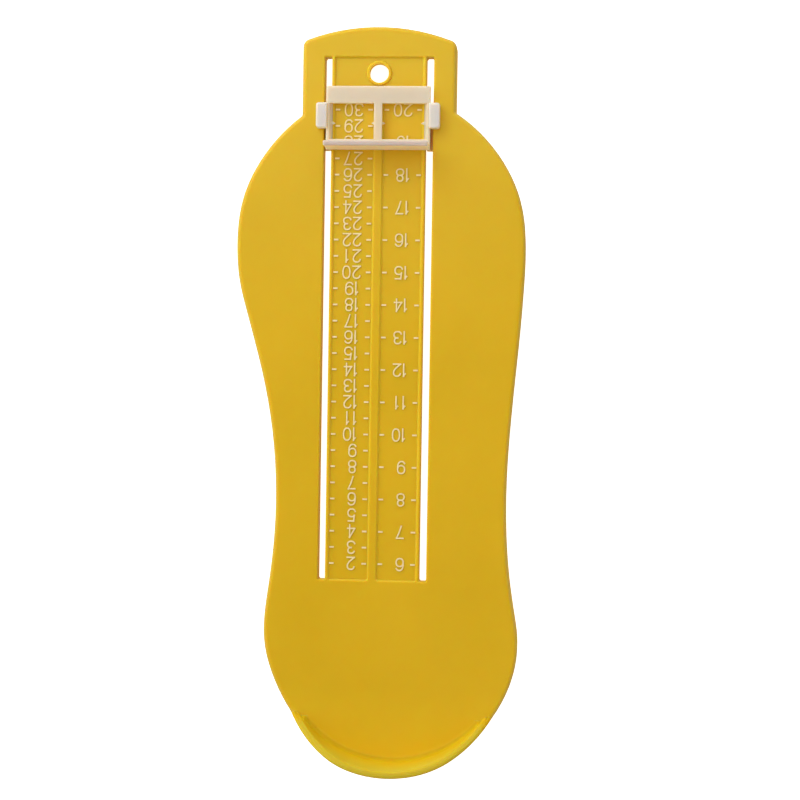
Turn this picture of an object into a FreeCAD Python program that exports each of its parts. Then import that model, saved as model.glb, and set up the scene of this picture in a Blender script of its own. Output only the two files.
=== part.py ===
import FreeCAD, Part
import math
import os

# Foot measuring device: a moulded sole with a heel cup, a ruler strip between two guide slots, and a slide
# whose toe stop is pushed up to the toes. Millimetres.
#
# Everything is drawn on the ruler: x runs across it from the centre rib, y runs along it from its zero at the
# heel wall towards the toes, and z is up from the table. At the end each piece is moved so that the frame's
# origin is at the bottom centre of the whole object.

Vec = FreeCAD.Vector
UP = Vec(0, 0, 1)

# ---- Sole ----
DECK_HEIGHT = 7.5            # table to the surface that the foot stands on
DECK_THICKNESS = 2.2
SKIRT_THICKNESS = 1.8        # down-turned wall all round the sole
SOLE_EDGE_RADIUS = 1.4       # rounded upper edge of the sole
HEEL_POINT = (6.8, -3.15)    # rearmost point of the sole
# Stations of the outline: distance along the ruler, reach to the left, reach to the right.
SOLE_STATIONS = (
    (5.0, 16.9, 30.1),
    (23.0, 29.9, 43.0),
    (36.0, 33.45, 45.3),
    (47.0, 33.05, 43.85),
    (56.0, 31.85, 42.5),
    (82.0, 30.35, 41.1),
    (110.0, 33.25, 42.6),
    (138.0, 40.4, 45.0),
    (146.0, 42.45, 45.5),
    (158.0, 43.55, 45.85),
    (172.5, 41.9, 44.0),
    (186.5, 35.1, 37.1),
)
STATION_TO_LEFT_SHOULDER = 11.7     # last station to where the outline meets the tab on each side
STATION_TO_RIGHT_SHOULDER = 12.7
SHOULDER_CREASE_RADIUS = 0.8

# ---- Hanging tab ----
TAB_HALF_WIDTH = 23.75
TAB_LENGTH = 27.35           # left shoulder to the top of the domed end
LEFT_DOME_RISE = 4.45        # top of the domed end above each of its corners
RIGHT_DOME_RISE = 4.85
TAB_CORNER_RADIUS = 2.6
HOLE_TO_CROWN = 14.35        # centre of the hanging hole to the top of the tab
HOLE_RADIUS = 2.93
HOLE_RING_WIDTH = 0.95
HOLE_RING_HEIGHT = 0.5       # above the channel floor
HOLE_RING_BEVEL = 0.3        # sloped outer edge of the ring

# ---- Heel cup ----
HEEL_WALL_THICKNESS = 2.2
HEEL_WALL_HEIGHT = 14.5      # above the deck
HEEL_WALL_START = 13.8       # distance along the ruler where the wall rises from the deck
HEEL_WALL_CREST = 0.2        # distance along the ruler where it would reach full height
HEEL_CREST_RADIUS = 9.0      # side view, where the ramp turns into the level crest
HEEL_LIP_RADIUS = 0.85       # rounded top of the wall
HEEL_COVE_RADIUS = 1.8       # between the deck and the wall
HEEL_COVE_SETBACK = 1.2      # the cove stops this much short of the wall's ends

# ---- Ruler strip and guide slots ----
STRIP_HALF_WIDTH = 14.55
SLOT_WIDTH = 2.3
SLOT_START = 54.9
SLOT_TO_CROWN = 9.45         # far end of the slots to the top of the tab
SLOT_CORNER_RADIUS = 0.4
SLOT_EDGE_BEVEL = 0.4        # sloped upper edge all round a slot
LIP_DEPTH = 5.3              # deck surface to the lower edge of the lips beside the slots
END_LIP_DEPTH = 3.8          # the same across the ends of the slots
LIP_THICKNESS = 1.4
CHANNEL_DEPTH = 0.7
CHANNEL_FLOOR_THICKNESS = 2.0
CHANNEL_CORNER_RADIUS = 0.6
CHANNEL_EDGE_BEVEL = 0.33    # sloped upper edge all round a channel
CHANNEL_FOOT_BEVEL = 0.33    # slope between a channel's floor and its walls
RAIL_WIDTH = 0.9             # raised edge of the strip, along each slot
RIB_WIDTH = 2.6              # raised line between the two channels
RIB_TO_HOLE = 6.2            # end of the rib to the centre of the hanging hole

# ---- Graduations ----
MARK_LENGTH = 1.4
MARK_WIDTH = 0.5
MARK_HEIGHT = 0.3
RAIL_TO_MARK = 0.35
RIB_TO_MARK = 0.5
CENTIMETRE = 10.0
SIZE_STEP = 5.0              # one size is half a centimetre
END_MARGIN = 2.0             # no mark lies closer than this to either end of the rib

# ---- Slide ----
SLIDE_CLEARANCE = 0.15       # between the slide and the deck that it runs on
LEG_CLEARANCE = 0.25         # between a leg and the ruler strip
HOOK_CLEARANCE = 0.2         # between a hook and the lip above it
SNAP_ROOM = 0.85             # between a leg and the sole, for the hook to snap past
STOP_TO_SLOT_END = 28.5      # the face that the toes touch to the far end of the slots, at rest
STOP_THICKNESS = 1.6
STOP_HEIGHT = 10.3           # above the deck
STOP_DRAFT = 0.1             # each end of the stop leans in by this much
STOP_EDGE_RADIUS = 0.5
FRAME_THICKNESS = 2.0
FRAME_EDGE_RADIUS = 0.35
FRONT_BAR = 3.0              # stop's face to the windows
WINDOW_LENGTH = 11.1
BACK_BAR = 5.2
SIDE_BAR = 1.9
CENTRE_BAR = 2.4
WINDOW_BEVEL = 1.0           # sloped inner edge of the side bars
STOP_TO_POINTER = 8.1        # stop's face to the line that is read
POINTER_LENGTH = 0.9
POINTER_WIDTH = 0.95
POINTER_THICKNESS = 0.65
STOP_TO_EAR = 6.4
EAR_LENGTH = 7.7
EAR_OVERHANG = 2.15          # past the slot, so that the ear rides on the sole
EAR_THICKNESS = 3.2
EAR_CORNER_RADIUS = 0.8
EAR_EDGE_RADIUS = 0.5
STOP_TO_HOOK = 0.4
HOOK_LENGTH = 8.0
HOOK_REACH = 1.05            # under the lip, past the slot's outer edge
HOOK_THICKNESS = 1.3
HOOK_LEAD_IN = 0.7           # sloped lower edge that snaps past the lip

# ---- Places that several pieces share ----
SIDES = (-1, 1)
OVERSHOOT = 1.0              # cutting tools run past the faces that they open
SAME_PLACE = 1e-4            # places closer than this count as one
LEFT_SHOULDER = SOLE_STATIONS[-1][0] + STATION_TO_LEFT_SHOULDER
RIGHT_SHOULDER = SOLE_STATIONS[-1][0] + STATION_TO_RIGHT_SHOULDER
TAB_CROWN = LEFT_SHOULDER + TAB_LENGTH
CHANNEL_FLOOR = DECK_HEIGHT - CHANNEL_DEPTH
DECK_UNDERSIDE = DECK_HEIGHT - DECK_THICKNESS
LIP_BOTTOM = DECK_HEIGHT - LIP_DEPTH
END_LIP_BOTTOM = DECK_HEIGHT - END_LIP_DEPTH
HEEL_WALL_TOP = DECK_HEIGHT + HEEL_WALL_HEIGHT
SLOT_OUTER = STRIP_HALF_WIDTH + SLOT_WIDTH
SLOT_END = TAB_CROWN - SLOT_TO_CROWN
CHANNEL_OUTER = STRIP_HALF_WIDTH - RAIL_WIDTH
CHANNEL_INNER = RIB_WIDTH / 2
HOLE_DISTANCE = TAB_CROWN - HOLE_TO_CROWN
RIB_END = HOLE_DISTANCE - RIB_TO_HOLE
OUTER_MARK_CENTRE = CHANNEL_OUTER - RAIL_TO_MARK - MARK_LENGTH / 2
INNER_MARK_CENTRE = CHANNEL_INNER + RIB_TO_MARK + MARK_LENGTH / 2
SLIDE_BOTTOM = DECK_HEIGHT + SLIDE_CLEARANCE
SLIDE_TOP = SLIDE_BOTTOM + FRAME_THICKNESS
SLIDE_HALF_WIDTH = SLOT_OUTER - SNAP_ROOM
STOP_FACE = SLOT_END - STOP_TO_SLOT_END
WINDOW_START = STOP_FACE + FRONT_BAR
WINDOW_END = WINDOW_START + WINDOW_LENGTH
WINDOW_OUTER = SLIDE_HALF_WIDTH - SIDE_BAR
WINDOW_INNER = CENTRE_BAR / 2
FRAME_END = WINDOW_END + BACK_BAR
POINTER_DISTANCE = STOP_FACE + STOP_TO_POINTER
EAR_START = STOP_FACE + STOP_TO_EAR
EAR_END = EAR_START + EAR_LENGTH
EAR_REACH = SLOT_OUTER + EAR_OVERHANG
HOOK_START = STOP_FACE + STOP_TO_HOOK


def block(x_low, x_high, y_low, y_high, z_low, z_high):
    """A rectangular block between the given limits."""
    return Part.makeBox(x_high - x_low, y_high - y_low, z_high - z_low, Vec(x_low, y_low, z_low))


def side_block(side, x_near, x_far, y_low, y_high, z_low, z_high):
    """A block on one side of the ruler, from x_near to x_far away from its centre line."""
    x_low, x_high = sorted((side * x_near, side * x_far))
    return block(x_low, x_high, y_low, y_high, z_low, z_high)


def prism(corners, depth):
    """A flat polygon pushed along a direction."""
    return Part.Face(Part.makePolygon(corners + corners[:1])).extrude(depth)


def is_upright(edge):
    """Whether an edge stands straight up."""
    start, end = (vertex.Point for vertex in (edge.firstVertex(), edge.lastVertex()))
    return math.hypot(start.x - end.x, start.y - end.y) < SAME_PLACE < abs(start.z - end.z)


def lies_at(edge, height):
    """Whether an edge lies level at a height."""
    points = [edge.firstVertex().Point, edge.lastVertex().Point, edge.CenterOfMass]
    return all(abs(point.z - height) < SAME_PLACE for point in points)


def round_uprights(shape, radius):
    """Round every upright edge of a shape."""
    return shape.makeFillet(radius, [edge for edge in shape.Edges if is_upright(edge)])


def round_level_edges(shape, radius, height):
    """Round every edge of a shape that lies at a height."""
    return shape.makeFillet(radius, [edge for edge in shape.Edges if lies_at(edge, height)])


def bevel_level_edges(shape, width, height):
    """Slope every edge of a shape that lies at a height."""
    return shape.makeChamfer(width, [edge for edge in shape.Edges if lies_at(edge, height)])


# ---- Outline ----

def tangent_arc(start, heading, end):
    """The arc that leaves start along heading and reaches end."""
    chord = end - start
    slant = math.asin(chord.cross(heading).z / chord.Length)
    middle = start + chord * 0.5 + UP.cross(chord) * (0.5 * math.tan(slant / 2))
    return Part.Arc(start, middle, end).toShape()


def arc_pair(start, leaving, end, arriving):
    """Two arcs, tangent to each other, that join two points with given headings there."""
    chord = end - start
    along = chord.dot(leaving + arriving)
    spread = 2 * (1 - leaving.dot(arriving))
    reach = (math.sqrt(along ** 2 + spread * chord.dot(chord)) - along) / spread
    joint = (start + end + (leaving - arriving) * reach) * 0.5
    return [tangent_arc(start, leaving, joint), tangent_arc(end, -arriving, joint)]


def sole_outline():
    """The closed outline of the sole and its hanging tab, on the table."""
    left_corner = Vec(-TAB_HALF_WIDTH, LEFT_SHOULDER, 0)
    right_corner = Vec(TAB_HALF_WIDTH, RIGHT_SHOULDER, 0)
    left = [Vec(-reach, distance, 0) for distance, reach, _ in reversed(SOLE_STATIONS)]
    right = [Vec(reach, distance, 0) for distance, _, reach in SOLE_STATIONS]
    stations = [left_corner] + left + [Vec(*HEEL_POINT, 0)] + right + [right_corner]
    guide = Part.BSplineCurve()
    guide.interpolate(stations)
    headings = [guide.tangent(guide.parameter(station))[0] for station in stations]
    edges = []
    for index in range(len(stations) - 1):
        edges += arc_pair(stations[index], headings[index], stations[index + 1], headings[index + 1])
    dome_left = Vec(-TAB_HALF_WIDTH, TAB_CROWN - LEFT_DOME_RISE, 0)
    dome_right = Vec(TAB_HALF_WIDTH, TAB_CROWN - RIGHT_DOME_RISE, 0)
    edges.append(Part.LineSegment(right_corner, dome_right).toShape())
    edges.append(Part.Arc(dome_right, Vec(0, TAB_CROWN, 0), dome_left).toShape())
    edges.append(Part.LineSegment(dome_left, left_corner).toShape())
    return Part.Wire(Part.sortEdges(edges)[0])


def column(z_low, z_high, inset=0.0):
    """The sole's outline as an upright column, drawn in all round by an inset."""
    face = Part.Face(sole_outline())
    if inset:
        face = face.makeOffset2D(-inset)
    return face.extrude(UP * (z_high - z_low)).translated(UP * z_low)


# ---- Foot plate ----

def sole_block():
    """The solid sole with its tab's corners, shoulder creases and upper edge rounded."""
    solid = column(0, DECK_HEIGHT)
    crease_limit = max(LEFT_SHOULDER, RIGHT_SHOULDER) + OVERSHOOT
    corners = [edge for edge in solid.Edges if is_upright(edge) and edge.CenterOfMass.y > crease_limit]
    solid = solid.makeFillet(TAB_CORNER_RADIUS, corners)
    creases = [edge for edge in solid.Edges if is_upright(edge) and is_shoulder(edge.CenterOfMass)]
    solid = solid.makeFillet(SHOULDER_CREASE_RADIUS, creases)
    return round_level_edges(solid, SOLE_EDGE_RADIUS, DECK_HEIGHT)


def is_shoulder(point):
    """Whether a point stands above one of the two corners between sole and tab."""
    shoulders = ((-TAB_HALF_WIDTH, LEFT_SHOULDER), (TAB_HALF_WIDTH, RIGHT_SHOULDER))
    return any(math.hypot(point.x - x, point.y - y) < SAME_PLACE for x, y in shoulders)


def heel_wedge(setback=0.0):
    """The side view of the heel cup, a ramp that turns into a level crest, pushed across the sole."""
    slope = math.atan2(HEEL_WALL_HEIGHT, HEEL_WALL_START - HEEL_WALL_CREST)
    level_end = Vec(0, HEEL_WALL_CREST - HEEL_CREST_RADIUS * math.tan(slope / 2), HEEL_WALL_TOP)
    centre = level_end - UP * HEEL_CREST_RADIUS
    halfway = centre + Vec(0, math.sin(slope / 2), math.cos(slope / 2)) * HEEL_CREST_RADIUS
    ramp_top = centre + Vec(0, math.sin(slope), math.cos(slope)) * HEEL_CREST_RADIUS
    ramp_foot = Vec(0, HEEL_WALL_START + DECK_HEIGHT / math.tan(slope), 0)
    back = min(HEEL_POINT[1], level_end.y) - OVERSHOOT
    top_back, low_back = Vec(0, back, HEEL_WALL_TOP), Vec(0, back, 0)
    outline = Part.Wire([
        Part.LineSegment(top_back, level_end).toShape(),
        Part.Arc(level_end, halfway, ramp_top).toShape(),
        Part.LineSegment(ramp_top, ramp_foot).toShape(),
        Part.LineSegment(ramp_foot, low_back).toShape(),
        Part.LineSegment(low_back, top_back).toShape(),
    ])
    half_span = max(max(station[1:]) for station in SOLE_STATIONS)
    return Part.Face(outline).extrude(Vec(2 * half_span, 0, 0)).translated(Vec(-half_span, -setback, 0))


def is_wall_side(face):
    """Whether a face is an upright stretch of the heel wall."""
    return isinstance(face.Surface, Part.Cylinder) and abs(face.Surface.Axis.z) > 0.5


def heel_wall():
    """The upright wall round the heel, from the table up, with both its top edges rounded."""
    band = column(0, HEEL_WALL_TOP).cut(column(0, HEEL_WALL_TOP, HEEL_WALL_THICKNESS))
    wall = band.common(heel_wedge()).Solids[0]
    crest = [edge for edge in wall.Edges if edge.CenterOfMass.z > SAME_PLACE
             and sum(is_wall_side(face) for face in wall.ancestorsOfType(edge, Part.Face)) == 1]
    return wall.makeFillet(HEEL_LIP_RADIUS, crest)


def heel_cove():
    """The hollow rounding between the deck and the heel wall's inner face."""
    overlap = HEEL_LIP_RADIUS / 3
    low, high = DECK_HEIGHT - overlap, DECK_HEIGHT + HEEL_COVE_RADIUS
    bowl = column(0, HEEL_WALL_TOP).cut(column(DECK_HEIGHT, HEEL_WALL_TOP, HEEL_WALL_THICKNESS))
    bowl = round_level_edges(bowl, HEEL_COVE_RADIUS, DECK_HEIGHT)
    ring = column(low, high, HEEL_WALL_THICKNESS - overlap)
    ring = ring.cut(column(low, high, HEEL_WALL_THICKNESS + HEEL_COVE_RADIUS))
    return bowl.common(ring).common(heel_wedge(HEEL_COVE_SETBACK))


def slot(side):
    """The space of one guide slot, right through the plate."""
    space = side_block(side, STRIP_HALF_WIDTH, SLOT_OUTER, SLOT_START, SLOT_END, -OVERSHOOT, HEEL_WALL_TOP)
    return round_uprights(space, SLOT_CORNER_RADIUS)


def slot_lips(side):
    """The wall that hangs below the deck round one slot, deeper along its sides than across its ends."""
    near, far = STRIP_HALF_WIDTH - LIP_THICKNESS, SLOT_OUTER + LIP_THICKNESS
    sides = side_block(side, near, far, SLOT_START, SLOT_END, LIP_BOTTOM, DECK_UNDERSIDE)
    ends = side_block(side, near, far, SLOT_START - LIP_THICKNESS, SLOT_END + LIP_THICKNESS,
                      END_LIP_BOTTOM, DECK_UNDERSIDE)
    return sides.fuse(ends)


def is_slot_edge(edge):
    """Whether an edge runs round the top of a slot."""
    centre = edge.CenterOfMass
    across = STRIP_HALF_WIDTH - SAME_PLACE < abs(centre.x) < SLOT_OUTER + SAME_PLACE
    along = SLOT_START - SAME_PLACE < centre.y < SLOT_END + SAME_PLACE
    return across and along and lies_at(edge, DECK_HEIGHT)


def channels():
    """The space of the two sunk channels that hold the graduations; they join round the hanging hole."""
    sunk = block(-CHANNEL_OUTER, CHANNEL_OUTER, SLOT_START, SLOT_END, CHANNEL_FLOOR, DECK_HEIGHT + OVERSHOOT)
    rib = block(-CHANNEL_INNER, CHANNEL_INNER, SLOT_START - OVERSHOOT, RIB_END,
                CHANNEL_FLOOR, DECK_HEIGHT + OVERSHOOT)
    space = round_uprights(sunk.cut(rib), CHANNEL_CORNER_RADIUS)
    return bevel_level_edges(space, CHANNEL_FOOT_BEVEL, CHANNEL_FLOOR)


def is_channel_edge(edge):
    """Whether an edge runs round the top of a channel."""
    across = abs(edge.CenterOfMass.x) < CHANNEL_OUTER + SAME_PLACE
    along = SLOT_START - SAME_PLACE < edge.CenterOfMass.y < SLOT_END + SAME_PLACE
    return across and along and lies_at(edge, DECK_HEIGHT)


def foot_plate():
    """The whole plate: sole, heel cup, hanging tab, guide slots and ruler strip in one moulding."""
    plate = sole_block().fuse([heel_wall(), heel_cove()])
    plate = plate.cut(column(0, DECK_UNDERSIDE, SKIRT_THICKNESS))
    strip = block(-STRIP_HALF_WIDTH, STRIP_HALF_WIDTH, SLOT_START, SLOT_END,
                  CHANNEL_FLOOR - CHANNEL_FLOOR_THICKNESS, DECK_UNDERSIDE)
    plate = plate.fuse([strip] + [slot_lips(side) for side in SIDES]).removeSplitter()
    plate = plate.cut([slot(side) for side in SIDES])
    plate = plate.makeChamfer(SLOT_EDGE_BEVEL, [edge for edge in plate.Edges if is_slot_edge(edge)])
    plate = plate.cut(channels())
    plate = plate.makeChamfer(CHANNEL_EDGE_BEVEL, [edge for edge in plate.Edges if is_channel_edge(edge)])
    hole_centre = Vec(0, HOLE_DISTANCE, 0)
    ring = Part.makeCylinder(HOLE_RADIUS + HOLE_RING_WIDTH, HOLE_RING_HEIGHT,
                             hole_centre + UP * CHANNEL_FLOOR)
    ring = bevel_level_edges(ring, HOLE_RING_BEVEL, CHANNEL_FLOOR + HOLE_RING_HEIGHT)
    hole = Part.makeCylinder(HOLE_RADIUS, DECK_HEIGHT, hole_centre)
    return plate.fuse(ring).cut(hole).removeSplitter()


# ---- Slide ----

def slide_frame():
    """The flat frame that straddles the ruler strip, with its two windows."""
    frame = block(-SLIDE_HALF_WIDTH, SLIDE_HALF_WIDTH, STOP_FACE, FRAME_END, SLIDE_BOTTOM, SLIDE_TOP)
    frame = round_level_edges(frame, FRAME_EDGE_RADIUS, SLIDE_TOP)
    return frame.cut([window(side) for side in SIDES])


def window(side):
    """One reading window; the side bar's edge along it slopes down to the opening."""
    opening = side_block(side, WINDOW_INNER, WINDOW_OUTER, WINDOW_START, WINDOW_END,
                         SLIDE_BOTTOM - OVERSHOOT, SLIDE_TOP + OVERSHOOT)
    bevel = prism([
        Vec(side * WINDOW_OUTER, WINDOW_START, SLIDE_BOTTOM),
        Vec(side * (WINDOW_OUTER + WINDOW_BEVEL), WINDOW_START, SLIDE_TOP),
        Vec(side * WINDOW_INNER, WINDOW_START, SLIDE_TOP),
        Vec(side * WINDOW_INNER, WINDOW_START, SLIDE_BOTTOM),
    ], Vec(0, WINDOW_END - WINDOW_START, 0))
    return opening.fuse(bevel)


def ear(side):
    """The pad that rides on the sole beside the frame and takes the push of a finger."""
    top = SLIDE_BOTTOM + EAR_THICKNESS
    root = SLIDE_HALF_WIDTH - FRAME_EDGE_RADIUS
    pad = side_block(side, root, EAR_REACH, EAR_START, EAR_END, SLIDE_BOTTOM, top)
    corners = [edge for edge in pad.Edges if is_upright(edge) and abs(edge.CenterOfMass.x) > SLIDE_HALF_WIDTH]
    return round_level_edges(pad.makeFillet(EAR_CORNER_RADIUS, corners), EAR_EDGE_RADIUS, top)


def pointer(base, direction):
    """A small arrowhead that points into a window from the bar that carries it, rooted behind the bevel."""
    root = base - direction * WINDOW_BEVEL
    low = POINTER_DISTANCE - POINTER_WIDTH / 2
    high = POINTER_DISTANCE + POINTER_WIDTH / 2
    return prism([
        Vec(root, low, SLIDE_BOTTOM),
        Vec(base, low, SLIDE_BOTTOM),
        Vec(base + direction * POINTER_LENGTH, POINTER_DISTANCE, SLIDE_BOTTOM),
        Vec(base, high, SLIDE_BOTTOM),
        Vec(root, high, SLIDE_BOTTOM),
    ], UP * POINTER_THICKNESS)


def toe_stop():
    """The upright plate that is pushed against the toes, with its top and its ends rounded."""
    top = DECK_HEIGHT + STOP_HEIGHT
    stop = prism([
        Vec(-SLIDE_HALF_WIDTH, STOP_FACE, SLIDE_BOTTOM),
        Vec(SLIDE_HALF_WIDTH, STOP_FACE, SLIDE_BOTTOM),
        Vec(SLIDE_HALF_WIDTH - STOP_DRAFT, STOP_FACE, top),
        Vec(-SLIDE_HALF_WIDTH + STOP_DRAFT, STOP_FACE, top),
    ], Vec(0, STOP_THICKNESS, 0))
    return stop.makeFillet(STOP_EDGE_RADIUS, [edge for edge in stop.Edges
                                              if edge.BoundBox.ZMax > top - SAME_PLACE])


def leg(side):
    """The leg that runs in one slot, with the hook that snaps under the sole's lip."""
    inner = STRIP_HALF_WIDTH + LEG_CLEARANCE
    hook_top = LIP_BOTTOM - HOOK_CLEARANCE
    hook_bottom = hook_top - HOOK_THICKNESS
    tip = SLOT_OUTER + HOOK_REACH
    shank = side_block(side, inner, SLIDE_HALF_WIDTH, HOOK_START, EAR_END, hook_bottom, SLIDE_BOTTOM)
    hook = prism([
        Vec(side * inner, HOOK_START, hook_bottom),
        Vec(side * (tip - HOOK_LEAD_IN), HOOK_START, hook_bottom),
        Vec(side * tip, HOOK_START, hook_bottom + HOOK_LEAD_IN),
        Vec(side * tip, HOOK_START, hook_top),
        Vec(side * inner, HOOK_START, hook_top),
    ], Vec(0, HOOK_LENGTH, 0))
    return shank.fuse(hook)


def measuring_slide():
    """The whole slide: frame, toe stop, pointers, ears and snap-in legs in one moulding."""
    arrows = [pointer(side * WINDOW_OUTER, -side) for side in SIDES]
    arrows += [pointer(side * WINDOW_INNER, side) for side in SIDES]
    limbs = [ear(side) for side in SIDES] + [leg(side) for side in SIDES]
    slide = slide_frame().fuse([toe_stop()] + arrows + limbs)
    return slide.removeSplitter()


# ---- Graduations ----

def mark(centre_x, distance):
    """One raised mark on a channel floor."""
    return block(centre_x - MARK_LENGTH / 2, centre_x + MARK_LENGTH / 2,
                 distance - MARK_WIDTH / 2, distance + MARK_WIDTH / 2,
                 CHANNEL_FLOOR, CHANNEL_FLOOR + MARK_HEIGHT)


def graduations(side, step):
    """A pair of marks, beside the rib and beside the rail, at every step."""
    marks = [mark(side * centre, distance) for distance in distances(step)
             for centre in (INNER_MARK_CENTRE, OUTER_MARK_CENTRE)]
    return Part.makeCompound(marks)


def distances(step):
    """Where the marks of one column lie along the ruler, at whole steps from its zero."""
    first = math.ceil((SLOT_START + END_MARGIN) / step)
    last = math.floor((RIB_END - END_MARGIN) / step)
    return [number * step for number in range(first, last + 1)]


# ---- Pieces ----

def main():
    plate = foot_plate()
    pieces = {
        "foot_plate": plate.Solids[0],
        "measuring_slide": measuring_slide().Solids[0],
        "size_graduations": graduations(-1, SIZE_STEP),
        "centimetre_graduations": graduations(1, CENTIMETRE),
    }
    box = plate.optimalBoundingBox(False, False)
    to_origin = Vec(-box.Center.x, -box.Center.y, -box.ZMin)
    print("ruler's zero in the frame:", to_origin)
    os.makedirs("parts", exist_ok=True)
    for name, shape in pieces.items():
        shape.translated(to_origin).exportStep(os.path.join("parts", name + ".step"))


main()
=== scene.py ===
import math

import bmesh
import bpy
from mathutils import Matrix, Vector


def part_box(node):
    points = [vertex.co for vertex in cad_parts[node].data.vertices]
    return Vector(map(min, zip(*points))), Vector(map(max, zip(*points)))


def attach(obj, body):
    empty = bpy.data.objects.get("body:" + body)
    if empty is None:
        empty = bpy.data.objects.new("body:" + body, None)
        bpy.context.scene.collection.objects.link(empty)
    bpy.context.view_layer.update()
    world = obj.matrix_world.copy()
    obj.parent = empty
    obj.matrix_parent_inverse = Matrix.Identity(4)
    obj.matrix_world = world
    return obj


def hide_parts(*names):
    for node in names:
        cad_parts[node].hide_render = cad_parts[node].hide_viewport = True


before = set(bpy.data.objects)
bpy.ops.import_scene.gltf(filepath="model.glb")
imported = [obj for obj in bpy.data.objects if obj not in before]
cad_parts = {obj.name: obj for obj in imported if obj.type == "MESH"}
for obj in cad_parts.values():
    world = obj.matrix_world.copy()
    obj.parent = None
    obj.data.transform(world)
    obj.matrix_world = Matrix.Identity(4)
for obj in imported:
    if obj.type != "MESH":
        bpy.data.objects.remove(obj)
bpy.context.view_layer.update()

# Foot measuring device: the finish of the yellow plate and the milky slide, the white graduations, and the
# numbers beside them. Sizes and places are in millimetres and become metres where they are used. Angles are
# in degrees. A facing is how far up a surface faces, from 0 for an upright one to 1 for a level one.

MM = 0.001
WELD = 0.002                 # corners closer than this are one corner

# ---- Edges of the mouldings ----
FLAT_ANGLE = 0.2             # triangles that meet at less than this are one flat face
PLATE_CRISP_ANGLE = 32       # edges sharper than this stay crisp
SLIDE_CRISP_ANGLE = 40
SLIDE_EDGE_WIDTH = 0.12      # of the tiny rounding on the slide's edges
SLIDE_EDGE_SEGMENTS = 2
FLAT_FACE_WEIGHT = 100       # how strongly a large face keeps its own shading

# ---- Numbers ----
DIGIT_HEIGHT = 4.2           # outer height of a digit
DIGIT_WIDTH = 2.64           # outer width of every digit but the 1
ONE_WIDTH = 0.95             # the digit 1, from the tip of its flag to the far side of its stem
DIGIT_FULLNESS = 2.2         # of a digit's bows: 2 is a plain oval, and more is squarer
ZERO_FULLNESS = 2.35
STROKE_WIDTH = 0.48          # at the channel floor
STROKE_TOP_WIDTH = 0.36
STROKE_HEIGHT = 0.3          # above the channel floor
STROKE_SUNK = 0.02           # below the channel floor
DIGIT_GAP = 0.5              # between two digits
ONE_BEARING = 0.75           # more free space in front of a 1
SINGLE_BEARING = 0.45        # free space in front of a number of one digit
SIZE_TEXT_START = -4.78      # from the centre rib to where the size numbers start
CENTIMETRE_TEXT_START = 10.4
FIRST_SIZE = 2
LAST_SIZE = 30
FIRST_CENTIMETRE = 6
LAST_CENTIMETRE = 20

# ---- Noise in the materials ----
NOISE_LOW = 0.3              # the range that the noise mostly keeps to
NOISE_HIGH = 0.7
PLAIN_DETAIL = 2
FINE_DETAIL = 3
YELLOW_CLOUDS = 28           # waves per metre, as all noise here
YELLOW_FLOW = 60             # flow marks of the mould
YELLOW_FLOW_STRETCH = (1, 0.18, 1)
YELLOW_GRAIN = 1500
MILKY_CLOUDS = 90
MILKY_GRAIN = 1300
FOIL_WEAR = 700

# ---- Yellow plastic and the light and shade painted on it, each colour in a darker and a lighter tone ----
SOLE_COLOUR = ((0.675, 0.436, 0.009), (0.715, 0.464, 0.012))
# painted sheen: paler and a little brighter towards the toe
TOE_SHEEN_COLOUR = ((0.685, 0.464, 0.021), (0.725, 0.492, 0.025))
# painted light bounced off the heel wall onto the sole near it
HEEL_BOUNCE_COLOUR = ((0.73, 0.497, 0.011), (0.77, 0.527, 0.014))
OUTLINE_SHEEN_COLOUR = ((0.59, 0.435, 0.075), (0.63, 0.465, 0.090))     # painted sheen on the rounded edge of the outline
CHANNEL_EDGE_LIGHT_COLOUR = ((0.70, 0.495, 0.020), (0.74, 0.520, 0.025))     # painted light on the rounded edges of the channels and slots, lifting their shade
WALL_SHADE_COLOUR = ((0.61, 0.395, 0.006), (0.64, 0.415, 0.008))        # painted shade on the heel wall, darker and more orange
RIM_SHEEN_COLOUR = ((0.545, 0.428, 0.025), (0.575, 0.453, 0.032))       # painted sheen on the top of the heel wall, paler and greener
TOE_FROM = 20.0              # distances along the plate between which the painted sheen of the toe comes in
TOE_FULL = 105.0
HEEL_FROM = -89.0            # the same for the painted bounce light near the heel
HEEL_FULL = -108.0
CHANNEL_SIDE = 18.5          # half the width within which the rounded edges belong to the channels
OUTLINE_SIDE = 20.0          # half the width past which they belong to the outline
CHANNEL_TOE = 107.0          # and the same two distances towards the toe end
OUTLINE_TOE = 109.0
UPRIGHT_TO = 0.02            # facing up to which a surface counts as upright
ROUNDED_FROM = 0.15          # facings between which it counts as a rounded edge
ROUNDED_TO = 0.65
LEVEL_FROM = 0.95            # facing from which it counts as level
WALL_FROM = 7.5              # heights between which the heel wall's painted shade comes in
WALL_FULL = 7.7
RIM_LOWEST = 9.0             # height above which what faces up belongs to the rim
RIM_FROM = 11.0              # heights between which the rim's painted sheen comes in
RIM_FULL = 19.0
RIM_FACING = 0.5             # facing from which a low part of the rim has its full painted sheen
YELLOW_ROUGHNESS = (0.38, 0.46)
YELLOW_GLOSS = 0.16
WALL_GLOSS = 0.03
YELLOW_SCATTER = (1.0, 0.55, 0.15)
YELLOW_SCATTER_DEPTH = 1.8
CLOUD_RELIEF = (0.18, 0.6)   # strength and height of the faint waves
YELLOW_RELIEF = (0.05, 0.02)
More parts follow.
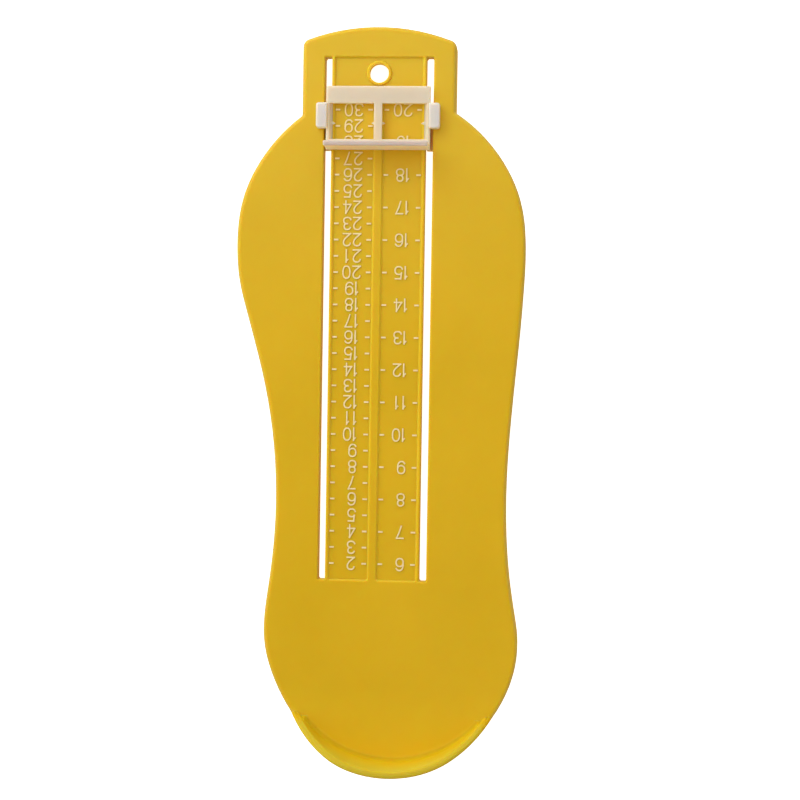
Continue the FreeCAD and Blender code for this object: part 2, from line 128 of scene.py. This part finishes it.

# ---- Milky plastic and the light and shade painted on it, each colour in a darker and a lighter tone ----
# painted yellow glow of the plate on the low parts of the slide
BAR_GLOW_COLOUR = ((0.64, 0.565, 0.43), (0.67, 0.595, 0.46))
EAR_COLOUR = ((0.61, 0.585, 0.545), (0.64, 0.615, 0.575))
# painted shade on the thin stop, greyer and darker
STOP_SHADE_COLOUR = ((0.47, 0.42, 0.385), (0.50, 0.45, 0.41))
# painted glow on the sides, warmer and brighter
SIDE_GLOW_COLOUR = ((0.80, 0.69, 0.49), (0.83, 0.72, 0.52))
WARM_UP_TO = 9.8             # height up to which the slide has its painted yellow glow from the plate
NEUTRAL_FROM = 10.8          # height from which it doesn't
STOP_FROM = 13.0             # heights between which the thin stop's painted shade, greyer and darker, comes in
STOP_FULL = 15.0
SIDE_FACING = 0.1            # facings between which a side becomes a top
TOP_FACING = 0.4
LIGHT_THROUGH_FRAME = 0.72   # share of the light that passes into its shadow
LIGHT_THROUGH_STOP = 0.86
PASSED_COLOUR = (1.0, 0.82, 0.46)
MILKY_ROUGHNESS = (0.40, 0.50)
MILKY_GLOSS = 0.25
MILKY_SCATTER = (1.0, 0.65, 0.45)
MILKY_SCATTER_DEPTH = 4.0
MILKY_RELIEF = (0.1, 0.02)
PLASTIC_IOR = 1.5            # of both plastics

# ---- White foil ----
FOIL_COLOUR = ((0.885, 0.71, 0.37), (0.84, 0.62, 0.26))     # whole and worn
WEAR_FROM = 0.45             # the noise between which the foil goes from whole to worn
WEAR_FULL = 0.75
FOIL_ROUGHNESS = (0.40, 0.55)

# ---- Floor ----
FLOOR_HALF_WIDTH = 20000.0
FLOOR_DROP = 0.2             # below the plate
FLOOR_COLOUR = (0.9, 0.9, 0.9)
FLOOR_ROUGHNESS = 0.9
FLOOR_GLOW = 0.95
WHITE = (1.0, 1.0, 1.0)

# ---- Light ----
SIDE_STRENGTH = 0.855        # of the sky round the table
SKY_TOWARDS = (-0.65, 0.75, 0.0)    # where the sky is brightest
BRIGHT_SIDE = 1.38           # the sky there, against its middle strength
DIM_SIDE = 0.60              # the same on the far side
CEILING_STRENGTH = 0.08      # of the dark ceiling
CEILING_START = 0.80         # how far up the sky the ceiling starts, where 1 is straight above
CEILING_FULL = 0.97
HORIZON_BLUR = 0.02          # how far the sky and the table blend, above and below the horizon
TABLE_STRENGTH = 0.90        # of what comes up from the table
TABLE_COLOUR = (1.0, 0.70, 0.30)    # tinted by the yellow plate
KEY_PLACE = (-380.0, 460.0, 450.0)
KEY_AIM = (0.0, 50.0, 0.0)
KEY_SIZE = 500.0
KEY_POWER = 2.6              # watts
TOE_LIGHT_PLACE = (-90.0, 360.0, 1000.0)
TOE_LIGHT_AIM = (0.0, 100.0, 0.0)
TOE_LIGHT_SIZE = 250.0
TOE_LIGHT_POWER = 1.1

# ---- Camera ----
CAMERA_PLACE = (46.8464, 9.2050, 527.5)
CAMERA_PITCH = -1.05         # about the camera's own axes
CAMERA_YAW = 4.4
CAMERA_ROLL = 0.902
CAMERA_LENS = 76.24
CAMERA_NEAREST = 10.0
SENSOR_WIDTH = 36.0


# ---- Meshes and edges ----

def add_piece(name, mesh, body, material):
    """A finished object made of a mesh, riding on a body."""
    piece = bpy.data.objects.new(name, mesh)
    bpy.context.scene.collection.objects.link(piece)
    mesh.materials.clear()
    mesh.materials.append(material)
    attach(piece, body)
    return piece


def merged_mesh(node, name):
    """A copy of a CAD node's mesh with its loose triangles joined into whole faces."""
    shell = bmesh.new()
    shell.from_mesh(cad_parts[node].data)
    bmesh.ops.remove_doubles(shell, verts=shell.verts, dist=WELD * MM)
    bmesh.ops.dissolve_limit(shell, angle_limit=math.radians(FLAT_ANGLE), verts=shell.verts,
                             edges=shell.edges)
    mesh = bpy.data.meshes.new(name)
    shell.to_mesh(mesh)
    shell.free()
    return mesh


def shade_softly(piece, angle):
    """Smooth shading that keeps flat faces flat and edges sharper than the angle crisp."""
    piece.data.shade_smooth()
    piece.data.set_sharp_from_angle(angle=math.radians(angle))
    weighting = piece.modifiers.new("flat faces stay flat", "WEIGHTED_NORMAL")
    weighting.mode = "FACE_AREA"
    weighting.weight = FLAT_FACE_WEIGHT
    weighting.keep_sharp = True


def break_edges(piece, width, segments, angle):
    """A tiny rounding on every edge sharper than the angle, as a mould leaves it."""
    rounding = piece.modifiers.new("broken edges", "BEVEL")
    rounding.width = width * MM
    rounding.segments = segments
    rounding.limit_method = "ANGLE"
    rounding.angle_limit = math.radians(angle)
    rounding.harden_normals = True


# ---- Parts of a material ----

def start_material(name):
    """A material that is one shader and its output; returns the material, its node tree and the shader."""
    material = bpy.data.materials.new(name)
    material.use_nodes = True
    tree = material.node_tree
    tree.nodes.clear()
    output = tree.nodes.new("ShaderNodeOutputMaterial")
    surface = tree.nodes.new("ShaderNodeBsdfPrincipled")
    tree.links.new(surface.outputs["BSDF"], output.inputs["Surface"])
    return material, tree, surface


def feed(tree, socket, value):
    """Sets a node's input to a plain number or colour, or links it to a worked-out one."""
    if isinstance(value, bpy.types.NodeSocket):
        tree.links.new(value, socket)
    elif socket.type == "RGBA":
        socket.default_value = (*value, 1)
    else:
        socket.default_value = value


def noise(tree, waves, detail=PLAIN_DETAIL, stretch=(1, 1, 1)):
    """Noise that is fixed to the piece, in waves per metre."""
    place = tree.nodes.new("ShaderNodeTexCoord")
    mapping = tree.nodes.new("ShaderNodeMapping")
    texture = tree.nodes.new("ShaderNodeTexNoise")
    tree.links.new(place.outputs["Object"], mapping.inputs["Vector"])
    tree.links.new(mapping.outputs["Vector"], texture.inputs["Vector"])
    feed(tree, mapping.inputs["Scale"], stretch)
    feed(tree, texture.inputs["Scale"], waves)
    feed(tree, texture.inputs["Detail"], detail)
    return texture.outputs["Fac"]


def spread(tree, value, low, high, from_low=NOISE_LOW, from_high=NOISE_HIGH):
    """A value moved from one range to another, which it then keeps to."""
    node = tree.nodes.new("ShaderNodeMapRange")
    feed(tree, node.inputs["Value"], value)
    feed(tree, node.inputs["From Min"], from_low)
    feed(tree, node.inputs["From Max"], from_high)
    feed(tree, node.inputs["To Min"], low)
    feed(tree, node.inputs["To Max"], high)
    return node.outputs["Result"]


def coming_in(tree, value, start, full):
    """A share that grows from 0 to 1 while a value goes from its start to full, up or down."""
    if start < full:
        return spread(tree, value, 0, 1, start, full)
    return spread(tree, value, 1, 0, full, start)


def between(tree, share, first, second):
    """A colour between two, by the share of the second."""
    node = tree.nodes.new("ShaderNodeMix")
    node.data_type = "RGBA"
    feed(tree, node.inputs["Factor"], share)
    feed(tree, node.inputs["A"], first)
    feed(tree, node.inputs["B"], second)
    return node.outputs["Result"]


def combined(tree, operation, *values):
    """A number worked out from one or two others."""
    node = tree.nodes.new("ShaderNodeMath")
    node.operation = operation
    for socket, value in zip(node.inputs, values):
        feed(tree, socket, value)
    return node.outputs["Value"]


def place_along(tree, axis):
    """Where a place on the piece lies along an axis, in metres."""
    place = tree.nodes.new("ShaderNodeTexCoord")
    parts = tree.nodes.new("ShaderNodeSeparateXYZ")
    tree.links.new(place.outputs["Object"], parts.inputs["Vector"])
    return parts.outputs[axis]


def facing_up(tree):
    """The facing of a surface."""
    place = tree.nodes.new("ShaderNodeTexCoord")
    parts = tree.nodes.new("ShaderNodeSeparateXYZ")
    tree.links.new(place.outputs["Normal"], parts.inputs["Vector"])
    return parts.outputs["Z"]


def relief(tree, height, strength_and_distance, before=None):
    """Fine relief from a height in the range 0 to 1, on top of the relief before it."""
    strength, distance = strength_and_distance
    bump = tree.nodes.new("ShaderNodeBump")
    feed(tree, bump.inputs["Strength"], strength)
    feed(tree, bump.inputs["Distance"], distance * MM)
    feed(tree, bump.inputs["Height"], height)
    if before is not None:
        feed(tree, bump.inputs["Normal"], before)
    return bump.outputs["Normal"]


def scatter_light(tree, surface, radius, depth):
    """Light that spreads a little inside a plastic, each colour to its own share of the depth."""
    feed(tree, surface.inputs["IOR"], PLASTIC_IOR)
    feed(tree, surface.inputs["Subsurface Weight"], 1.0)
    feed(tree, surface.inputs["Subsurface Radius"], radius)
    feed(tree, surface.inputs["Subsurface Scale"], depth * MM)


# ---- Yellow plastic ----

def edge_colour(tree, mottle, along):
    """Painted light on the rounded edges: a lift of their shade by the channels and slots, and a painted
    sheen on the outline.
    """
    across = combined(tree, "ABSOLUTE", place_along(tree, "X"))
    outline = combined(tree, "MAXIMUM",
                       coming_in(tree, across, CHANNEL_SIDE * MM, OUTLINE_SIDE * MM),
                       coming_in(tree, along, CHANNEL_TOE * MM, OUTLINE_TOE * MM))
    return between(tree, outline, between(tree, mottle, *CHANNEL_EDGE_LIGHT_COLOUR),
                   between(tree, mottle, *OUTLINE_SHEEN_COLOUR))


def rim_share(tree, rise, facing):
    """How much of the rim's painted sheen a place on the heel wall has."""
    low_rim_sheen = combined(tree, "MULTIPLY",
                       coming_in(tree, rise, RIM_LOWEST * MM, RIM_FROM * MM),
                       coming_in(tree, facing, ROUNDED_FROM, RIM_FACING))
    return combined(tree, "MAXIMUM", low_rim_sheen, coming_in(tree, rise, RIM_FROM * MM, RIM_FULL * MM))


def yellow_colour(tree, mottle, rise):
    """The yellow from toe to heel, on the rounded edges, and up the heel wall to its rim, with painted
    light: a sheen towards the toe, bounce light near the heel, light and sheen on the rounded edges, shade
    on the wall and a sheen on its rim.
    """
    along = place_along(tree, "Y")
    facing = facing_up(tree)
    colour = between(tree, mottle, *SOLE_COLOUR)
    # painted sheen comes in towards the toe, and painted light bounced off the heel wall near the heel
    colour = between(tree, coming_in(tree, along, TOE_FROM * MM, TOE_FULL * MM),
                     colour, between(tree, mottle, *TOE_SHEEN_COLOUR))
    colour = between(tree, coming_in(tree, along, HEEL_FROM * MM, HEEL_FULL * MM),
                     colour, between(tree, mottle, *HEEL_BOUNCE_COLOUR))
    # painted light on the rounded edges: a lift of their shade by the channels and slots, a sheen on the
    # outline
    turned = between(tree, coming_in(tree, facing, ROUNDED_FROM, UPRIGHT_TO),
                     edge_colour(tree, mottle, along), colour)
    colour = between(tree, coming_in(tree, facing, LEVEL_FROM, ROUNDED_TO), colour, turned)
    # painted shade up the heel wall, then a painted sheen on its rim
    colour = between(tree, coming_in(tree, rise, WALL_FROM * MM, WALL_FULL * MM),
                     colour, between(tree, mottle, *WALL_SHADE_COLOUR))
    return between(tree, rim_share(tree, rise, facing), colour, between(tree, mottle, *RIM_SHEEN_COLOUR))


def yellow_plastic():
    """Glossy injection-moulded plastic with the faint waves and flow marks of the mould."""
    material, tree, surface = start_material("yellow_moulded_plastic")
    clouds = noise(tree, YELLOW_CLOUDS, FINE_DETAIL)
    flow = noise(tree, YELLOW_FLOW, stretch=YELLOW_FLOW_STRETCH)
    rise = place_along(tree, "Z")
    waves = relief(tree, clouds, CLOUD_RELIEF)
    feed(tree, surface.inputs["Base Color"], yellow_colour(tree, spread(tree, clouds, 0, 1), rise))
    feed(tree, surface.inputs["Roughness"], spread(tree, flow, *YELLOW_ROUGHNESS))
    feed(tree, surface.inputs["Specular IOR Level"],
         spread(tree, rise, YELLOW_GLOSS, WALL_GLOSS, WALL_FROM * MM, WALL_FULL * MM))
    feed(tree, surface.inputs["Normal"], relief(tree, noise(tree, YELLOW_GRAIN), YELLOW_RELIEF, waves))
    scatter_light(tree, surface, YELLOW_SCATTER, YELLOW_SCATTER_DEPTH)
    return material


# ---- Milky plastic ----

def milky_colour(tree, mottle, rise):
    """The milky white of the bars, the ears and the thin stop, and of the sides of all three, with painted
    light: a yellow glow low down, shade on the stop and a warm glow on the sides.
    """
    # painted yellow glow low down, painted shade on the thin stop, and a painted warm glow on the sides
    tops_glow_and_shade = between(tree, coming_in(tree, rise, WARM_UP_TO * MM, NEUTRAL_FROM * MM),
                   between(tree, mottle, *BAR_GLOW_COLOUR), between(tree, mottle, *EAR_COLOUR))
    tops_glow_and_shade = between(tree, coming_in(tree, rise, STOP_FROM * MM, STOP_FULL * MM),
                   tops_glow_and_shade, between(tree, mottle, *STOP_SHADE_COLOUR))
    return between(tree, coming_in(tree, facing_up(tree), SIDE_FACING, TOP_FACING),
                   between(tree, mottle, *SIDE_GLOW_COLOUR), tops_glow_and_shade)


def let_light_through(tree, surface, rise):
    """Lets a share of the light pass, warmed, into the slide's shadow."""
    output = surface.outputs["BSDF"].links[0].to_node
    rays = tree.nodes.new("ShaderNodeLightPath")
    passing = tree.nodes.new("ShaderNodeBsdfTransparent")
    wall = tree.nodes.new("ShaderNodeMixShader")
    share = spread(tree, rise, LIGHT_THROUGH_FRAME, LIGHT_THROUGH_STOP, NEUTRAL_FROM * MM, STOP_FROM * MM)
    feed(tree, passing.inputs["Color"], PASSED_COLOUR)
    feed(tree, wall.inputs["Fac"], combined(tree, "MULTIPLY", rays.outputs["Is Shadow Ray"], share))
    feed(tree, wall.inputs[1], surface.outputs["BSDF"])
    feed(tree, wall.inputs[2], passing.outputs["BSDF"])
    feed(tree, output.inputs["Surface"], wall.outputs["Shader"])


def milky_plastic():
    """Translucent white plastic, with the plate's yellow painted on its low parts as a glow."""
    material, tree, surface = start_material("milky_plastic")
    clouds = noise(tree, MILKY_CLOUDS)
    rise = place_along(tree, "Z")
    feed(tree, surface.inputs["Base Color"], milky_colour(tree, spread(tree, clouds, 0, 1), rise))
    feed(tree, surface.inputs["Roughness"], spread(tree, clouds, *MILKY_ROUGHNESS))
    feed(tree, surface.inputs["Specular IOR Level"], MILKY_GLOSS)
    feed(tree, surface.inputs["Normal"], relief(tree, noise(tree, MILKY_GRAIN), MILKY_RELIEF))
    scatter_light(tree, surface, MILKY_SCATTER, MILKY_SCATTER_DEPTH)
    let_light_through(tree, surface, rise)
    return material


# ---- White foil ----

def white_foil():
    """Warm white foil, worn a little where it was pressed thin."""
    material, tree, surface = start_material("white_foil")
    wear = noise(tree, FOIL_WEAR, FINE_DETAIL)
    worn = coming_in(tree, wear, WEAR_FROM, WEAR_FULL)
    feed(tree, surface.inputs["Base Color"], between(tree, worn, *FOIL_COLOUR))
    feed(tree, surface.inputs["Roughness"], spread(tree, wear, *FOIL_ROUGHNESS))
    return material


# ---- Digits ----

def bow(centre, radii, start, end, steps, fullness=DIGIT_FULLNESS):
    """Points along an oval from one angle to another; a fuller oval is squarer."""
    points = []
    power = 2 / fullness
    for step in range(steps + 1):
        angle = math.radians(start + (end - start) * step / steps)
        across, up = math.cos(angle), math.sin(angle)
        points.append((centre[0] + radii[0] * math.copysign(abs(across) ** power, across),
                       centre[1] + radii[1] * math.copysign(abs(up) ** power, up)))
    return points


def line(*points):
    """An open stroke through points."""
    return False, list(points)


def curl(*oval):
    """An open stroke along part of an oval."""
    return False, bow(*oval)


def ring(*oval):
    """A closed stroke round an oval."""
    return True, bow(*oval)[:-1]


def digit_drawings():
    """The middle lines of each digit's strokes, in a cell one wide and one high: if closed, and points."""
    return {
        "0": [ring((0.5, 0.5), (0.5, 0.5), 0, 360, 32, ZERO_FULLNESS)],
        "1": [line((1.0, 1.0), (1.0, 0.0)), line((0.0, 0.80), (0.55, 0.87), (1.0, 0.98))],
        "2": [line(*bow((0.5, 0.71), (0.49, 0.29), 165, -32, 18), (0.74, 0.38), (0.02, 0.0)),
              line((0.0, 0.0), (1.0, 0.0))],
        "3": [curl((0.48, 0.755), (0.45, 0.245), 160, -90, 18),
              curl((0.48, 0.265), (0.52, 0.265), 90, -162, 20)],
        "4": [line((0.0, 0.27), (1.0, 0.27)), line((0.0, 0.27), (0.72, 1.0)),
              line((0.72, 1.0), (0.72, 0.0))],
        "5": [line((0.18, 1.0), (0.92, 1.0)), line((0.18, 1.0), (0.09, 0.52)),
              curl((0.47, 0.32), (0.53, 0.32), 132, -158, 20)],
        "6": [curl((0.55, 0.5), (0.55, 0.5), 42, 180, 16), ring((0.5, 0.33), (0.5, 0.33), 180, -180, 28)],
        "7": [line((0.08, 1.0), (1.0, 1.0)), line((1.0, 1.0), (0.66, 0.56), (0.36, 0.0))],
        "8": [ring((0.5, 0.76), (0.42, 0.24), 270, -90, 24), ring((0.5, 0.265), (0.5, 0.265), 90, 450, 26)],
        "9": [curl((0.45, 0.5), (0.55, 0.5), 222, 360, 16), ring((0.5, 0.67), (0.5, 0.33), 0, 360, 28)],
    }


def place_points(spline, points):
    """Gives a new spline its points, in millimetres."""
    spline.points.add(len(points) - 1)
    for point, (across, up) in zip(spline.points, points):
        point.co = (across * MM, up * MM, 0, 1)


def stroke_profile():
    """The section of a raised stroke: a low bar with sloping sides."""
    section = bpy.data.curves.new("stroke_section", "CURVE")
    section.dimensions = "2D"
    outline = section.splines.new("POLY")
    place_points(outline, [(-STROKE_WIDTH / 2, -STROKE_SUNK), (-STROKE_TOP_WIDTH / 2, STROKE_HEIGHT),
                           (STROKE_TOP_WIDTH / 2, STROKE_HEIGHT), (STROKE_WIDTH / 2, -STROKE_SUNK)])
    outline.use_cyclic_u = True
    holder = bpy.data.objects.new("stroke_section", section)
    bpy.context.scene.collection.objects.link(holder)
    return holder


def square_ends(points):
    """The same line, longer by half a stroke's width at both ends."""
    def beyond(end, neighbour):
        reach = (Vector(end) - Vector(neighbour)).normalized() * STROKE_WIDTH / 2
        return tuple(Vector(end) + reach)
    return [beyond(points[0], points[1])] + points[1:-1] + [beyond(points[-1], points[-2])]


def evaluated_mesh(piece):
    """The mesh that an object has after its curve and modifiers are worked out."""
    bpy.context.view_layer.update()
    return bpy.data.meshes.new_from_object(piece.evaluated_get(bpy.context.evaluated_depsgraph_get()))


def closed_body(mesh):
    """An object made of a mesh whose open seams are welded shut."""
    shell = bmesh.new()
    shell.from_mesh(mesh)
    bmesh.ops.remove_doubles(shell, verts=shell.verts, dist=WELD * MM)
    bmesh.ops.recalc_face_normals(shell, faces=shell.faces)
    shell.to_mesh(mesh)
    shell.free()
    body = bpy.data.objects.new("stroke", mesh)
    bpy.context.scene.collection.objects.link(body)
    return body


def stroke_body(closed, points, section):
    """One raised stroke as a closed body, along a middle line in millimetres."""
    curve = bpy.data.curves.new("stroke", "CURVE")
    curve.dimensions = "3D"
    curve.bevel_mode = "OBJECT"
    curve.bevel_object = section
    curve.use_fill_caps = True
    curve.twist_mode = "Z_UP"
    middle = curve.splines.new("POLY")
    place_points(middle, points)
    middle.use_cyclic_u = closed
    drawn = bpy.data.objects.new("stroke", curve)
    bpy.context.scene.collection.objects.link(drawn)
    mesh = evaluated_mesh(drawn)
    bpy.data.objects.remove(drawn)
    return closed_body(mesh)


def digit_width(digit):
    """The outer width of a digit."""
    return ONE_WIDTH if digit == "1" else DIGIT_WIDTH


def digit_mesh(digit, strokes, section):
    """One raised digit, its strokes joined into one body, its lower left corner at the origin."""
    edge = STROKE_WIDTH / 2
    across = digit_width(digit) - STROKE_WIDTH
    up = DIGIT_HEIGHT - STROKE_WIDTH
    bodies = []
    for closed, cell_points in strokes:
        points = [(edge + x * across, edge + y * up) for x, y in cell_points]
        bodies.append(stroke_body(closed, points if closed else square_ends(points), section))
    for body in bodies[1:]:
        joint = bodies[0].modifiers.new("joined stroke", "BOOLEAN")
        joint.operation = "UNION"
        joint.solver = "EXACT"
        joint.object = body
    mesh = evaluated_mesh(bodies[0])
    mesh.shade_flat()
    for body in bodies:
        bpy.data.objects.remove(body)
    return mesh


# ---- Numbers ----

def number_cells(number):
    """Each digit of a number with the distance from the number's start to the digit's left side."""
    text = str(number)
    pen = SINGLE_BEARING if len(text) == 1 else 0.0
    cells = []
    for digit in text:
        pen += ONE_BEARING if digit == "1" else 0.0
        cells.append((digit, pen))
        pen += digit_width(digit) + DIGIT_GAP
    return cells


def numbers_mesh(name, digits, numbers, start, first_distance, pitch, floor):
    """A column of numbers that reads from the toe end, each centred on its mark."""
    column = bmesh.new()
    for index, number in enumerate(numbers):
        for digit, offset in number_cells(number):
            first_vertex = len(column.verts)
            column.from_mesh(digits[digit])
            column.verts.ensure_lookup_table()
            place = (Matrix.Translation((start - offset * MM, first_distance + index * pitch, floor))
                     @ Matrix.Rotation(math.pi, 4, "Z")
                     @ Matrix.Translation((0, -DIGIT_HEIGHT / 2 * MM, 0)))
            bmesh.ops.transform(column, matrix=place, verts=column.verts[first_vertex:])
    bmesh.ops.remove_doubles(column, verts=column.verts, dist=WELD * MM)
    bmesh.ops.recalc_face_normals(column, faces=column.faces)
    mesh = bpy.data.meshes.new(name)
    column.to_mesh(mesh)
    column.free()
    return mesh


def mark_spacing(node, first, last):
    """The height of the floor under a column of marks, its first distance, and its pitch, in metres."""
    low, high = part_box(node)
    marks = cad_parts[node].data.vertices
    depth = min(vertex.co.y for vertex in marks if vertex.co.y > low.y + WELD * MM) - low.y
    return low.z, low.y + depth / 2, (high.y - low.y - depth) / (last - first)


# ---- Pieces ----

def finish_plate(plastic):
    """The yellow plate with soft shading."""
    plate = add_piece("moulded_plate", merged_mesh("foot_plate", "moulded_plate"), "plate",
                      plastic)
    shade_softly(plate, PLATE_CRISP_ANGLE)
    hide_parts("foot_plate")


def finish_slide(plastic):
    """The milky slide with its broken edges."""
    slide = add_piece("moulded_slide", merged_mesh("measuring_slide", "moulded_slide"), "slide",
                      plastic)
    break_edges(slide, SLIDE_EDGE_WIDTH, SLIDE_EDGE_SEGMENTS, SLIDE_CRISP_ANGLE)
    shade_softly(slide, SLIDE_CRISP_ANGLE)
    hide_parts("measuring_slide")


def finish_marks(foil):
    """White foil on both columns of marks."""
    for node in ("size_graduations", "centimetre_graduations"):
        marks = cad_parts[node].data
        marks.materials.clear()
        marks.materials.append(foil)


def add_numbers(foil):
    """Both columns of numbers, beside their marks."""
    section = stroke_profile()
    digits = {digit: digit_mesh(digit, strokes, section) for digit, strokes in digit_drawings().items()}
    bpy.data.objects.remove(section)
    rib_centre = (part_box("size_graduations")[1].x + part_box("centimetre_graduations")[0].x) / 2
    for name, node, first, last, text_start in (
            ("size_numbers", "size_graduations", FIRST_SIZE, LAST_SIZE, SIZE_TEXT_START),
            ("centimetre_numbers", "centimetre_graduations", FIRST_CENTIMETRE, LAST_CENTIMETRE,
             CENTIMETRE_TEXT_START)):
        floor, first_distance, pitch = mark_spacing(node, first, last)
        mesh = numbers_mesh(name, digits, range(first, last + 1), rib_centre + text_start * MM,
                            first_distance, pitch, floor)
        add_piece(name, mesh, "plate", foil)
    for mesh in digits.values():
        bpy.data.meshes.remove(mesh)


# ---- Studio ----

def studio_floor():
    """A wide pale floor that the plate lies on."""
    grid = bmesh.new()
    bmesh.ops.create_grid(grid, x_segments=1, y_segments=1, size=FLOOR_HALF_WIDTH * MM)
    mesh = bpy.data.meshes.new("studio_floor")
    grid.to_mesh(mesh)
    grid.free()
    floor = bpy.data.objects.new("studio_floor", mesh)
    floor.location.z = -FLOOR_DROP * MM
    bpy.context.scene.collection.objects.link(floor)
    material, tree, paper = start_material("pale_floor")
    feed(tree, paper.inputs["Base Color"], FLOOR_COLOUR)
    feed(tree, paper.inputs["Roughness"], FLOOR_ROUGHNESS)
    feed(tree, paper.inputs["Emission Color"], WHITE)
    feed(tree, paper.inputs["Emission Strength"], FLOOR_GLOW)
    mesh.materials.append(material)
    floor.visible_diffuse = False
    floor.visible_glossy = False


def soft_light(name, place, aim, size, power):
    """A square soft light at a place, turned towards an aim."""
    lamp = bpy.data.lights.new(name, "AREA")
    lamp.shape = "SQUARE"
    lamp.size = size * MM
    lamp.energy = power
    holder = bpy.data.objects.new(name, lamp)
    holder.location = Vector(place) * MM
    holder.rotation_euler = (Vector(aim) - Vector(place)).to_track_quat("-Z", "Y").to_euler()
    bpy.context.scene.collection.objects.link(holder)


def studio_sky():
    """Light from all sides, brighter on one, under a dark ceiling and above a table that the plate tints."""
    world = bpy.data.worlds.new("studio")
    world.use_nodes = True
    tree = world.node_tree
    direction = tree.nodes.new("ShaderNodeTexCoord").outputs["Generated"]
    parts = tree.nodes.new("ShaderNodeSeparateXYZ")
    feed(tree, parts.inputs["Vector"], direction)
    rise = parts.outputs["Z"]
    above = spread(tree, rise, SIDE_STRENGTH, CEILING_STRENGTH, CEILING_START, CEILING_FULL)
    whole = spread(tree, rise, TABLE_STRENGTH, above, -HORIZON_BLUR, HORIZON_BLUR)
    towards = tree.nodes.new("ShaderNodeVectorMath")
    towards.operation = "DOT_PRODUCT"
    feed(tree, towards.inputs[0], direction)
    feed(tree, towards.inputs[1], Vector(SKY_TOWARDS).normalized())
    side = spread(tree, towards.outputs["Value"], DIM_SIDE, BRIGHT_SIDE, -1, 1)
    sky = tree.nodes["Background"]
    upper = coming_in(tree, rise, -HORIZON_BLUR, HORIZON_BLUR)
    feed(tree, sky.inputs["Color"], between(tree, upper, TABLE_COLOUR, WHITE))
    feed(tree, sky.inputs["Strength"], combined(tree, "MULTIPLY", whole, side))
    bpy.context.scene.world = world


def main_camera():
    """The camera above the ruler's toe half, looking almost straight down."""
    lens = bpy.data.cameras.new("camera")
    lens.lens = CAMERA_LENS
    lens.sensor_width = SENSOR_WIDTH
    lens.clip_start = CAMERA_NEAREST * MM
    holder = bpy.data.objects.new("camera", lens)
    turn = (Matrix.Rotation(math.radians(CAMERA_YAW), 4, "Y")
            @ Matrix.Rotation(math.radians(CAMERA_PITCH), 4, "X")
            @ Matrix.Rotation(math.radians(CAMERA_ROLL), 4, "Z"))
    holder.matrix_world = Matrix.Translation(Vector(CAMERA_PLACE) * MM) @ turn
    bpy.context.scene.collection.objects.link(holder)
    bpy.context.scene.camera = holder


# ---- The whole scene ----

plastic_yellow = yellow_plastic()
plastic_milky = milky_plastic()
foil = white_foil()
finish_plate(plastic_yellow)
finish_slide(plastic_milky)
finish_marks(foil)
add_numbers(foil)

studio_floor()
studio_sky()
soft_light("key", KEY_PLACE, KEY_AIM, KEY_SIZE, KEY_POWER)
soft_light("toe_light", TOE_LIGHT_PLACE, TOE_LIGHT_AIM, TOE_LIGHT_SIZE, TOE_LIGHT_POWER)
main_camera()
bpy.context.scene.view_settings.view_transform = "Standard"
